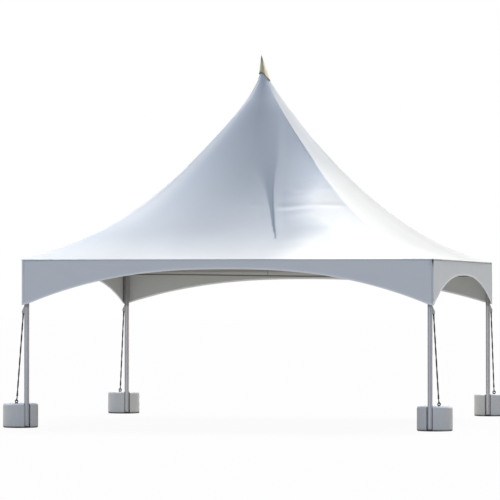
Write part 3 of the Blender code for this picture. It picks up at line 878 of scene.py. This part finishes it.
def arch_drop(along, half, apex_drop):
    arch_half = half - TIP_WIDTH
    share = np.minimum(np.abs(along) / arch_half, 1.0)
    arch = apex_drop + (ARCH_END_DROP - apex_drop) * share**ARCH_POWER
    tip = EAVE_Z - TIP_Z
    outside = np.clip((np.abs(along) - arch_half) / TIP_WIDTH, 0, 1)
    return arch + (tip - arch) * outside


def valance_grid(half, apex_drop, seed):
    """A front valance about the tent's centre, as columns along it and rows down it."""
    inner_end = half - END_COLUMNS[-1]
    inner = np.linspace(-inner_end, inner_end, VALANCE_COLUMNS + 1)
    ends = half - np.array(END_COLUMNS[:-1])
    along = np.concatenate([-ends, inner, ends[::-1]])
    along, down = np.meshgrid(along, np.linspace(0, 1, VALANCE_ROWS + 1))
    z = VALANCE_TOP_Z - down * (arch_drop(along, half, apex_drop) - (EAVE_Z - VALANCE_TOP_Z))
    rng = np.random.default_rng(seed)
    wave = 0.0
    for _count in range(BOW_WAVES):
        length = rng.uniform(0.35, 1.4)
        phase = rng.uniform(0, FULL_TURN)
        wave += np.sin(along / length * FULL_TURN + phase) * rng.uniform(0.3, 1.0)
    free = ease(down, 0.0, 1.0) * (1 - ease(np.abs(along), half - 0.35, half - 0.1))
    y = -HALF + PANEL_SKIN / 2 + BOW * wave * free
    return along, y, z


def mark_valance(mesh, points, half, past_crease, plain_end):
    """Painted shade in the ends' creases, under the eave, round the notches and on the right end's
    strip, painted light on the left end's strip, and a paler band along the lower edge, for its
    material.
    """
    along, z = points[..., 0], points[..., 2]
    below_top = VALANCE_TOP_Z - z
    # Painted shade in the end creases, under the eave's edge, on the right end's strip and round
    # the notches
    crease_fade = 0.5 + 0.45 * plain_end * bell(below_top, 0.0, 0.16)
    crease = bell(past_crease, -0.002, 0.003 + 0.003 * plain_end) * crease_fade
    top_fold = 0.6 * bell(below_top, 0.0, 0.012)
    folded_under = ease(past_crease, 0.0, 0.006) * np.where(along > 0, 0.30, 0.0)
    near_notch = 0.7 * bell(half - np.abs(along), 0.0, 0.05) * bell(below_top, 0.0, 0.11)
    shades = [crease, top_fold, folded_under, near_notch * (1 - plain_end)]
    add_attribute(mesh, "shade", np.maximum.reduce(shades))
    # Painted light on the left end's strip
    end_hem = ease(past_crease, 0.0, 0.003) * np.where(along < 0, 0.8, 0.0)
    hem_band = 0.35 * bell(z - z[-1:], 0.0, 0.035)
    add_attribute(mesh, "seam", np.maximum(end_hem, hem_band))


def binding_mesh(edge):
    """A folded tape over the valance's lower edge: a rounded U in section."""
    section = [(BINDING_HALF_DEPTH, BINDING_HEIGHT)]
    for step in range(BINDING_STEPS + 1):
        turn = math.pi * step / BINDING_STEPS
        section.append((BINDING_HALF_DEPTH * math.cos(turn), -BINDING_HALF_DEPTH * math.sin(turn)))
    section.append((-BINDING_HALF_DEPTH, BINDING_HEIGHT))
    section.append(section[0])
    return grid_mesh(np.array([edge + (0, -out, up) for out, up in section]))


def make_valance(index, side, material, inside, binding):
    half = HALF if side in ("front", "back") else HALF - PANEL_SKIN
    along, y, z = valance_grid(half, APEX_DROP[side], VALANCE_SEED + index)
    past_crease = np.abs(along) - (half - END_STRIP)
    y = y - STRIP_STEP * ease(past_crease, 0.0, 0.004)
    plain_end = (side == "front") * (along < 0)
    notch = NOTCH_WIDTH * np.clip(1 - (VALANCE_TOP_Z - z) / NOTCH_HEIGHT, 0, 1) * (1 - plain_end)
    notch *= ease(np.abs(along), half - NOTCH_REACH, half)
    points = np.stack([along - np.sign(along) * notch, y, z], axis=-1)
    mesh = grid_mesh(points)
    mark_valance(mesh, points, half, past_crease, plain_end)
    mesh.transform(side_turn(index))
    name = f"valance_sheet_{side}"
    sheet = stand_in(f"valance_{side}", name, mesh, material, smooth=60)
    thicken(sheet, VALANCE_THICKNESS, 0.0, inside)

    tape = binding_mesh(points[-1])
    tape.transform(side_turn(index))
    band = link(f"valance_binding_{side}", tape, binding, smooth=50)
    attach(band, "root")


# Legs, with a lug for the strap on each
LEG_INSET = 0.06
LEG_HALF = 0.03175
GROOVE_DEPTH = 0.008
GROOVE_DIRT = 0.24
LUG_DIRT = 0.30
LUG_REACH = 0.040
LUG_HEIGHT = 0.115
LUG_OUTER_HEIGHT = 0.032


def leg_place(corner):
    side, depth = CORNERS[corner]
    return CENTRE + Vector((side, depth, 0)) * (SPAN / 2 - LEG_INSET)


def cut_lug(mesh, place, side):
    """The lug's top slants down outwards, as on a gusset."""
    out = [(vert.co.x - place.x) * side - LEG_HALF for vert in mesh.vertices]
    lug_top = max(vert.co.z for vert, reach in zip(mesh.vertices, out) if reach > 0.005)
    for vert, reach in zip(mesh.vertices, out):
        if reach > LUG_REACH - 0.002 and vert.co.z > lug_top - 0.01:
            vert.co.z -= LUG_HEIGHT - LUG_OUTER_HEIGHT


def dirty_grooves(mesh, place):
    """Splits the leg's faces, and marks those of its grooves and its lug for painted shade."""
    with edited(mesh) as bm:
        bmesh.ops.split_edges(bm, edges=bm.edges[:])
        layer = bm.verts.layers.float.new("groove")
        for face in bm.faces:
            middle = face.calc_center_median()
            inset = LEG_HALF - max(abs(middle.x - place.x), abs(middle.y - place.y))
            on_wall = abs(face.normal.z) < 0.5 and face.calc_area() > 1e-5
            deep = on_wall and GROOVE_DEPTH * 0.3 < inset < GROOVE_DEPTH * 1.2
            for vert in face.verts:
                vert[layer] = GROOVE_DIRT if deep else LUG_DIRT if inset < -0.002 else 0.0


def make_leg(corner, material):
    node = f"leg_{corner}"
    mesh = node_mesh(node)
    place = leg_place(corner)
    cut_lug(mesh, place, CORNERS[corner][0])
    dirty_grooves(mesh, place)
    stand_in(node, f"{node}_dressed", mesh, material)


# Concrete drums, each with a slot for its leg
SLOT_RADIUS = 0.040
DRUM_SEED = 70
DRUM_VOXEL = 0.009
DRUM_CHIPS = 9
DRUM_FOOT = 0.004
WAVY_DEPTH = 0.0010
ROUGH_DEPTH = 0.0006


def remesh(obj, voxel_size):
    """Gives the object a mesh of small faces, and returns it."""
    voxels = obj.modifiers.new("remesh", "REMESH")
    voxels.mode = "VOXEL"
    voxels.voxel_size = voxel_size
    depsgraph = bpy.context.evaluated_depsgraph_get()
    obj.data = bpy.data.meshes.new_from_object(obj.evaluated_get(depsgraph))
    obj.modifiers.clear()
    return obj.data


def mesh_values(collection, name):
    flat = np.zeros(len(collection) * 3)
    collection.foreach_get(name, flat)
    return flat.reshape(-1, 3)


def cast_depth(points, low, high, seed):
    """How far a drum's surface lies in from the solid's: uneven, and chipped at its edges."""
    depth = WAVY_DEPTH * (1 + noise_3d(points, 22, seed))
    depth += ROUGH_DEPTH * (1 + noise_3d(points, 95, seed + 1))
    rng = np.random.default_rng(seed)
    middle = (low + high) / 2
    radius = (high[0] - low[0]) / 2
    for _chip in range(DRUM_CHIPS):
        turn = rng.uniform(0, FULL_TURN)
        level = high[2] if rng.random() < 0.6 else low[2]
        place = (middle[0] + radius * math.cos(turn), middle[1] + radius * math.sin(turn), level)
        distance = np.linalg.norm((points - place) * (1, 1, 1.4), axis=1)
        size = rng.uniform(0.014, 0.034)
        depth += rng.uniform(0.004, 0.009) * bell(distance, 0.0, size)
    return depth * (points[:, 2] >= low[2] + DRUM_FOOT)


def mark_drum(mesh, points, low, high, leg, seed):
    """The slot's wall in painted shade and the upper edge in painted light, for the concrete's
    material.
    """
    outward = np.array(leg.xy) - (low[:2] + high[:2]) / 2
    outward /= np.linalg.norm(outward)
    from_leg = points[:, :2] - np.array(leg.xy)
    along = from_leg @ outward
    aside = np.abs(from_leg @ np.array((-outward[1], outward[0])))
    wall = np.where(along > 0, aside, np.hypot(along, aside))
    # Painted shade on the slot's wall
    in_slot = 1 - ease(wall, SLOT_RADIUS + 0.001, SLOT_RADIUS + 0.012)
    level = points[:, 2] - low[2]
    add_attribute(mesh, "slot", in_slot * (0.62 + 0.36 * (1 - ease(level, 0.03, 0.10))))
    tall = high[2] - low[2]
    # Painted light on the upper rim
    worn = ease(level, tall - 0.034, tall - 0.018)
    worn *= (0.75 + 0.25 * noise_3d(points, 40, seed + 2)) * (1 - in_slot)
    add_attribute(mesh, "worn", np.clip(worn, 0, 1))


def make_drum(corner, seed, material):
    node = f"weight_{corner}"
    drum = stand_in(node, f"drum_{corner}", node_mesh(node), material)
    mesh = remesh(drum, DRUM_VOXEL)
    points = mesh_values(mesh.vertices, "co")
    normals = mesh_values(mesh.vertex_normals, "vector")
    low, high = points.min(axis=0), points.max(axis=0)
    moved = points - normals * cast_depth(points, low, high, seed)[:, None]
    mesh.vertices.foreach_set("co", moved.ravel())
    mark_drum(mesh, points, low, high, leg_place(corner), seed)
    mesh.update()
    mesh.shade_smooth()
    mesh.materials.clear()
    mesh.materials.append(material)


# Tie straps. They bunch up at the knot on the lug, and less in the hook
STRAP_HALF_WIDTH = 0.0115
STRAP_HALF_THICKNESS = 0.0080
STRAP_HALF_TURN = 0.17
STRAP_RINGS = 190
STRAP_SIDES = 14
STRAP_SQUARENESS = 0.7
KNOT_LENGTH = 0.018
HOOK_LENGTH = 0.03


def strap_ends(node):
    """The middles of a strap node's lowest and highest corners."""
    mesh = node_mesh(node)
    points = np.array([vert.co for vert in mesh.vertices])
    order = points[:, 2].argsort()
    return Vector(points[order[:4]].mean(axis=0)), Vector(points[order[-4:]].mean(axis=0))


def squarish(value):
    return math.copysign(abs(value) ** STRAP_SQUARENESS, value)


def make_strap(corner, material):
    node = f"tie_strap_{corner}"
    low, high = strap_ends(node)
    along = (high - low).normalized()
    first = along.cross(Vector((0, 1, 0))).normalized()
    second = along.cross(first)
    length = (high - low).length
    turns = [FULL_TURN * side / STRAP_SIDES for side in range(STRAP_SIDES)]
    section = [(squarish(math.cos(turn)), squarish(math.sin(turn))) for turn in turns]
    rows = []
    for ring in range(STRAP_RINGS + 1):
        travel = length * ring / STRAP_RINGS
        twist = math.pi * travel / STRAP_HALF_TURN
        bunched = bell(travel, length, KNOT_LENGTH) + 0.8 * bell(travel, 0, HOOK_LENGTH)
        wide = STRAP_HALF_WIDTH * (1 + 0.25 * bunched)
        thick = STRAP_HALF_THICKNESS * (1 + 0.65 * bunched)
        across = first * math.cos(twist) + second * math.sin(twist)
        over = second * math.cos(twist) - first * math.sin(twist)
        centre = low + along * travel
        rows.append([tuple(centre + across * (wide * a) + over * (thick * b)) for a, b in section])
    mesh = grid_mesh(np.array(rows), wrap=True)
    cap_rings(mesh, STRAP_SIDES, (0, STRAP_RINGS))
    stand_in(node, f"webbing_{corner}", mesh, material, smooth=60)


# The finial: a hollow cone that leans a little, cut on a slant below and arched up in front
FINIAL_RIM_Z = 5.225
FINIAL_TIP_Z = 5.644
FINIAL_RIM_RADIUS = 0.098
FINIAL_LEAN = 0.040
FINIAL_CUT_Z = 5.302
FINIAL_CUT_SLOPE = math.tan(math.radians(34))
FINIAL_RIM_ARCH = 0.050
FINIAL_RIM_WIDTH = 0.019
FINIAL_LIP = 0.0030
FINIAL_BLUNT = 0.006
FINIAL_THICKNESS = 0.0022
FINIAL_COLUMNS = 96
FINIAL_ROWS = 60
LAP_TURN = -1.15
LAP_STEP = 0.0016
FOLD_TURN = -1.65
HUB_TOP_Z = 2.415


def finial_axis(z):
    """Where the finial's axis is in x, with the mast's lean and its own."""
    lean = PEAK_LEAN * (z - HUB_TOP_Z) / (canopy_z(COLLAR_REACH) - HUB_TOP_Z)
    own = FINIAL_LEAN * ((z - FINIAL_RIM_Z) / (FINIAL_TIP_Z - FINIAL_RIM_Z) + 0.05)
    return CENTRE.x - lean - own


def finial_rim(turn, taper):
    cut = FINIAL_CUT_SLOPE * taper * np.cos(turn)
    plane = (FINIAL_CUT_Z - cut * FINIAL_TIP_Z) / (1 - cut)
    return plane + FINIAL_RIM_ARCH * np.maximum(0, -np.sin(turn)) ** 1.5


def make_finial(material):
    turn = (np.arange(FINIAL_COLUMNS) / FINIAL_COLUMNS * FULL_TURN)[None, :]
    taper = FINIAL_RIM_RADIUS / (FINIAL_TIP_Z - FINIAL_RIM_Z)
    rim_z = finial_rim(turn, taper)
    share = (np.arange(FINIAL_ROWS + 1) / FINIAL_ROWS)[:, None]
    top_z = FINIAL_TIP_Z - FINIAL_BLUNT
    z = top_z + (rim_z - top_z) * share**0.9
    to_rim = z - rim_z
    radius = taper * (FINIAL_TIP_Z - z)
    lap = bell((turn - LAP_TURN % FULL_TURN) * radius, 0.0, 0.006)
    radius *= 1 + 0.012 * np.sin(3 * turn + 1)
    radius += FINIAL_LIP * bell(to_rim, 0.0, 0.006) + LAP_STEP * lap
    x = finial_axis(z) + radius * np.cos(turn)
    y = CENTRE.y + radius * np.sin(turn)
    mesh = grid_mesh(np.stack([x, y, z], axis=-1), wrap=True)
    # Painted shade beside the lap seam, and a painted highlight on the right side
    folded = 0.50 * bell(turn, FOLD_TURN % FULL_TURN, 0.50)
    bright = 0.8 * (1 - ease((turn - LAP_TURN) % FULL_TURN, 0.9, 1.6))
    add_attribute(mesh, "rim", bell(to_rim, 0.0, FINIAL_RIM_WIDTH))
    add_attribute(mesh, "tip", 0.85 * ease(z, 5.50, 5.62))
    add_attribute(mesh, "lap", np.maximum(0.8 * lap, folded) * (1 - bell(to_rim, 0.0, 0.02)))
    add_attribute(mesh, "bright", np.broadcast_to(bright, z.shape))
    cap_rings(mesh, FINIAL_COLUMNS, (0,))
    cone = stand_in("finial", "finial_cone", mesh, material, smooth=40)
    thicken(cone, FINIAL_THICKNESS)


# An eave beam's section: out from its middle as a share of its half width, and up from its lower
# edge. The slots take ropes
BEAM_SECTION = (
    (-1.00, 0.003), (-0.90, 0.000), (0.90, 0.000), (1.00, 0.003),
    (1.00, 0.010), (0.62, 0.012), (0.62, 0.026), (1.00, 0.028),
    (1.00, 0.112), (0.62, 0.114), (0.62, 0.126), (1.00, 0.128),
    (1.00, 0.137), (0.90, 0.140), (-0.90, 0.140), (-1.00, 0.137),
)
BEAM_TALL = 0.140


def make_beam(index, side, material):
    node = f"eave_beam_{side}"
    low, high = node_box(node)
    size = high - low
    length, width = max(size.x, size.y), min(size.x, size.y)
    rows = []
    for end in (-length / 2, length / 2):
        rows.append([(end, out * width / 2, up * size.z / BEAM_TALL) for out, up in BEAM_SECTION])
    mesh = grid_mesh(np.array(rows), wrap=True)
    cap_rings(mesh, len(BEAM_SECTION), (0, 1))
    middle = (low + high) / 2
    place = Matrix.Translation((middle.x, middle.y, low.z))
    mesh.transform(place @ Matrix.Rotation(index * GORE, 4, "Z"))
    stand_in(node, f"beam_{side}", mesh, material)


BRACKET_BEVEL = 0.004
BOLT_RADIUS = 0.010
BOLT_RISE = 0.007
BOLT_SIDES = 6
BOLT_PLACES = (-0.30, 0.30)


def add_bolt(bm, spot, direction):
    turn = direction.to_track_quat("Z", "Y").to_matrix().to_4x4()
    bmesh.ops.create_cone(
        bm,
        cap_ends=True,
        segments=BOLT_SIDES,
        radius1=BOLT_RADIUS,
        radius2=BOLT_RADIUS * 0.9,
        depth=BOLT_RISE,
        matrix=Matrix.Translation(spot + direction * BOLT_RISE / 2) @ turn,
    )


def make_bracket(corner, material):
    """A corner bracket with eased edges and bolt heads on its two inner faces."""
    node = f"corner_bracket_{corner}"
    mesh = node_mesh(node)
    low, high = node_box(node)
    side, depth = CORNERS[corner]
    with edited(mesh) as bm:
        edges = [edge for edge in bm.edges if edge.calc_face_angle(0) > 1]
        bmesh.ops.bevel(bm, geom=edges, offset=BRACKET_BEVEL, segments=2, affect="EDGES")
        for direction in (Vector((-side, 0, 0)), Vector((0, -depth, 0))):
            face = (low + high) / 2 + direction * (high.x - low.x) / 2
            for up in BOLT_PLACES:
                add_bolt(bm, face + Vector((0, 0, up * (high.z - low.z))), direction)
    stand_in(node, f"bracket_{corner}", mesh, material, smooth=30)


# Added all round the small steel, which would be under a pixel wide
EYE_SWELL = 0.0030
HOOK_SWELL = 0.0040


def dress_frame():
    upright = aluminium_material("aluminium_upright", "Z", 0.85)
    # Beams, brackets and mast take darker copies of the aluminium: painted shade under the canopy
    along_x = aluminium_material("aluminium_along_x", "X", 0.46)
    along_y = aluminium_material("aluminium_along_y", "Y", 0.46)
    inner = aluminium_material("aluminium_inner", "Z", 0.50)
    black = black_steel_material()
    rope = rope_material()
    concrete = concrete_material()
    webbing = webbing_material()
    for seed, corner in enumerate(CORNERS, start=DRUM_SEED):
        make_leg(corner, upright)
        make_bracket(corner, inner)
        smooth_node(f"eye_bolt_{corner}", black, 50, EYE_SWELL)
        smooth_node(f"strap_hook_{corner}", black, 60, HOOK_SWELL)
        smooth_node(f"cross_cable_{corner}", rope, 60)
        make_drum(corner, seed, concrete)
        make_strap(corner, webbing)
    for index, side in enumerate(SIDES):
        make_beam(index, side, along_x if side in ("front", "back") else along_y)
    smooth_node("mast", inner, 35)
    make_finial(gold_material())


def dress_membrane():
    inside = inside_material()
    make_canopy(canopy_material(), inside)
    membrane = valance_material()
    binding = binding_material()
    for index, side in enumerate(SIDES):
        make_valance(index, side, membrane, inside, binding)


def make_floor():
    bpy.ops.mesh.primitive_plane_add(size=FLOOR_SIZE)
    floor = bpy.context.object
    floor.name = "floor"
    floor.data.materials.append(floor_material())


def look_along(obj, direction):
    obj.rotation_mode = "QUATERNION"
    obj.rotation_quaternion = direction.to_track_quat("-Z", "Y")


def make_camera():
    data = bpy.data.cameras.new("camera")
    camera = new_object("camera", data)
    data.sensor_width = SENSOR_MM
    data.lens = FOCAL_PX / FRAME_PX * SENSOR_MM
    data.clip_end = 500
    level = math.cos(CAMERA_PITCH)
    ahead = (math.sin(CAMERA_YAW) * level, math.cos(CAMERA_YAW) * level, math.sin(CAMERA_PITCH))
    camera.location = CENTRE + CAMERA_PLACE
    look_along(camera, Vector(ahead))
    bpy.context.scene.camera = camera


def make_world():
    """The bluish screen as light, and plain white where the camera sees it."""
    world = bpy.data.worlds.new("studio")
    bpy.context.scene.world = world
    n = Nodes(world, "Generated")
    screen = n.tree.nodes["Background"]
    n.put(screen.inputs["Color"], n.mix(n.axis("Z"), SCREEN_LOW, SCREEN_HIGH))
    facing = n.span(n.axis("Y"), SCREEN_EDGE_Y, -1.0, AMBIENT_STRENGTH, SCREEN_STRENGTH)
    n.put(screen.inputs["Strength"], facing)
    white = n.add("Background", {"Color": grey(1.0)}).outputs[0]
    n.show("World Output", n.shaders("MixShader", n.camera_ray(), screen.outputs[0], white))


def make_lights():
    make_world()
    for name, place, energy, spread in LAMPS:
        sun = bpy.data.lights.new(name, "SUN")
        sun.energy = energy
        sun.color = LAMP_COLOUR
        sun.angle = math.radians(spread)
        look_along(new_object(name, sun), -Vector(place))
    bpy.context.scene.view_settings.view_transform = "Standard"


def main():
    make_camera()
    make_lights()
    make_floor()
    dress_frame()
    dress_membrane()


main()
